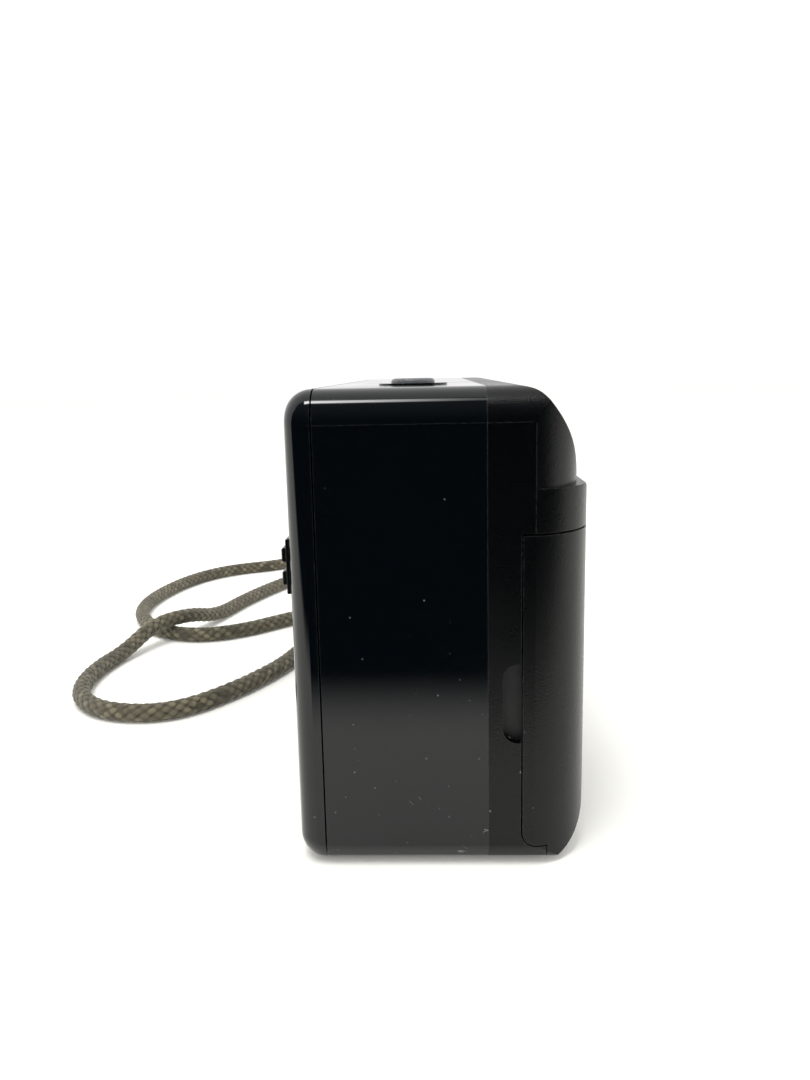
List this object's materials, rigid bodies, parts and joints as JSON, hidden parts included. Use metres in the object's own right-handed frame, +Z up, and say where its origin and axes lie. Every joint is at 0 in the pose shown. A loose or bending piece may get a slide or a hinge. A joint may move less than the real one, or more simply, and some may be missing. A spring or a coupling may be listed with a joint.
{
  "type": "compact film camera",
  "caption": "Compact film camera with a hand grip, sliding lens cover, hinged film and battery doors, shutter button and a braided wrist cord in a loop.",
  "frame": {"origin": "mouth of the tripod socket, in the base plane", "axes": "+X along the body from the grip end to the cord end, -Y to the front (lens) side, +Y to the back door, +Z up"},
  "size_m": [0.2165, 0.1086, 0.067],
  "materials": {
    "gloss_black": "glossy injection-moulded",
    "matte_black": "fine spark-eroded texture",
    "inner_black": "matte, unpainted",
    "steel": "plain",
    "gear_plastic": "natural acetal",
    "metal_can": "zinc plated can",
    "capacitor_sleeve": "shrink sleeve",
    "glass": "clear",
    "smoked": "smoked",
    "lamp_red": "translucent red",
    "reflector": "bright",
    "trim_metal": "anodised satin",
    "cover_black": "satin",
    "button_grey": "satin",
    "ring_black": "glossy",
    "foam": "foam",
    "board_green": "solder mask",
    "cell_wrap": "plain wrap without print",
    "brass": "turned",
    "cord_braid": "braided"
  },
  "bodies": {
    "camera": {"back_door_pin": "steel", "battery_box": "inner_black", "battery_contacts": "steel", "battery_door_pin": "steel", "battery_pack": "cell_wrap", "body_screws": "steel", "body_shell": "gloss_black", "button_ring": "ring_black", "button_spring": "steel", "cassette_chamber": "inner_black", "cord_ferrule": "matte_black", "counter_display": "inner_black", "counter_window": "glass", "film_frame": "inner_black", "flash_capacitor": "capacitor_sleeve", "flash_reflector": "reflector", "flash_tube": "glass", "flash_window": "glass", "focus_window": "smoked", "front_cover": "matte_black", "gear_plate": "steel", "keeper_loop": "cord_braid", "lens_bezel": "trim_metal", "lens_mount": "inner_black", "light_box": "inner_black", "main_board": "board_green", "shutter_switch": "steel", "strap_lug": "steel", "takeup_chamber": "inner_black", "timer_lamp": "lamp_red", "tripod_socket": "brass", "viewfinder_eyepiece": "glass", "viewfinder_objective": "glass", "viewfinder_tunnel": "inner_black", "wind_motor": "metal_can", "wrist_cord": "cord_braid"},
    "back_door": {"back_door": "gloss_black", "film_window": "glass", "pressure_plate": "steel", "pressure_spring": "steel", "light_seal": "foam"},
    "door_latch": {"door_latch": "matte_black"},
    "battery_door": {"battery_door": "matte_black"},
    "film_sprocket": {"film_sprocket": "inner_black"},
    "rewind_fork": {"rewind_fork": "inner_black"},
    "takeup_spool": {"takeup_spool": "inner_black"},
    "idler_gear": {"idler_gear": "gear_plastic"},
    "motor_pinion": {"motor_pinion": "gear_plastic"},
    "lens_barrel": {"lens_barrel": "inner_black", "front_element": "glass", "rear_element": "glass"},
    "shutter_blade_left": {"shutter_blade_left": "steel"},
    "shutter_blade_right": {"shutter_blade_right": "steel"},
    "lens_cover": {"lens_cover": "cover_black", "cover_knob": "cover_black"},
    "shutter_button": {"shutter_button": "button_grey"},
    "timer_button": {"timer_button": "button_grey"},
    "rewind_button": {"rewind_button": "button_grey"}
  },
  "joints": [
    {"name": "back_door_hinge", "type": "hinge", "parent": "camera", "child": "back_door", "pos_m": [0.0626, 0.0126, 0.033], "axis": [0, 0, -1], "range_deg": [0, 95], "deforming": ["wrist_cord"]},
    {"name": "door_latch_slide", "type": "slide", "parent": "back_door", "child": "door_latch", "axis": [0, 0, 1], "range_m": [0, 0.002], "stiffness_N_per_m": 400},
    {"name": "battery_door_hinge", "type": "hinge", "parent": "camera", "child": "battery_door", "pos_m": [-0.0245, -0.0215, 0.025], "axis": [0, 0, 1], "range_deg": [0, 100]},
    {"name": "film_sprocket_spin", "type": "hinge", "parent": "camera", "child": "film_sprocket", "pos_m": [-0.0072, 0.0066, 0.032], "axis": [0, 0, 1], "continuous": true},
    {"name": "rewind_fork_spin", "type": "hinge", "parent": "camera", "child": "rewind_fork", "pos_m": [0.0466, -0.0006, 0.01], "axis": [0, 0, 1], "continuous": true},
    {"name": "takeup_spool_spin", "type": "hinge", "parent": "camera", "child": "takeup_spool", "pos_m": [-0.0208, 0.003, 0.033], "axis": [0, 0, 1], "continuous": true},
    {"name": "idler_gear_spin", "type": "hinge", "parent": "camera", "child": "idler_gear", "pos_m": [-0.03176, 0.00156, 0.006], "axis": [0, 0, 1], "continuous": true},
    {"name": "motor_pinion_spin", "type": "hinge", "parent": "camera", "child": "motor_pinion", "pos_m": [-0.03775, 0.0042, 0.006], "axis": [0, 0, 1], "continuous": true},
    {"name": "focus_slide", "type": "slide", "parent": "camera", "child": "lens_barrel", "axis": [0, -1, 0], "range_m": [0, 0.0015]},
    {"name": "shutter_left_swing", "type": "hinge", "parent": "lens_barrel", "child": "shutter_blade_left", "pos_m": [0.014, -0.0124, 0.0415], "axis": [0, 1, 0], "range_deg": [0, 30]},
    {"name": "shutter_right_swing", "type": "hinge", "parent": "lens_barrel", "child": "shutter_blade_right", "pos_m": [0.016, -0.0114, 0.0415], "axis": [0, -1, 0], "range_deg": [0, 30]},
    {"name": "lens_cover_slide", "type": "slide", "parent": "camera", "child": "lens_cover", "axis": [1, 0, 0], "range_m": [0, 0.022]},
    {"name": "shutter_button_press", "type": "slide", "parent": "camera", "child": "shutter_button", "axis": [0, 0, -1], "range_m": [0, 0.001], "stiffness_N_per_m": 900, "deforming": ["button_spring"]},
    {"name": "timer_button_press", "type": "slide", "parent": "camera", "child": "timer_button", "axis": [0, 0, -1], "range_m": [0, 0.0005], "stiffness_N_per_m": 900},
    {"name": "rewind_button_press", "type": "slide", "parent": "camera", "child": "rewind_button", "axis": [0, 0, 1], "range_m": [0, 0.0008], "stiffness_N_per_m": 700}
  ],
  "couplings": [
    {"joint": "idler_gear_spin", "follows": "takeup_spool_spin", "ratio": -1.75},
    {"joint": "motor_pinion_spin", "follows": "takeup_spool_spin", "ratio": 2.8},
    {"joint": "shutter_right_swing", "follows": "shutter_left_swing", "ratio": 1}
  ]
}
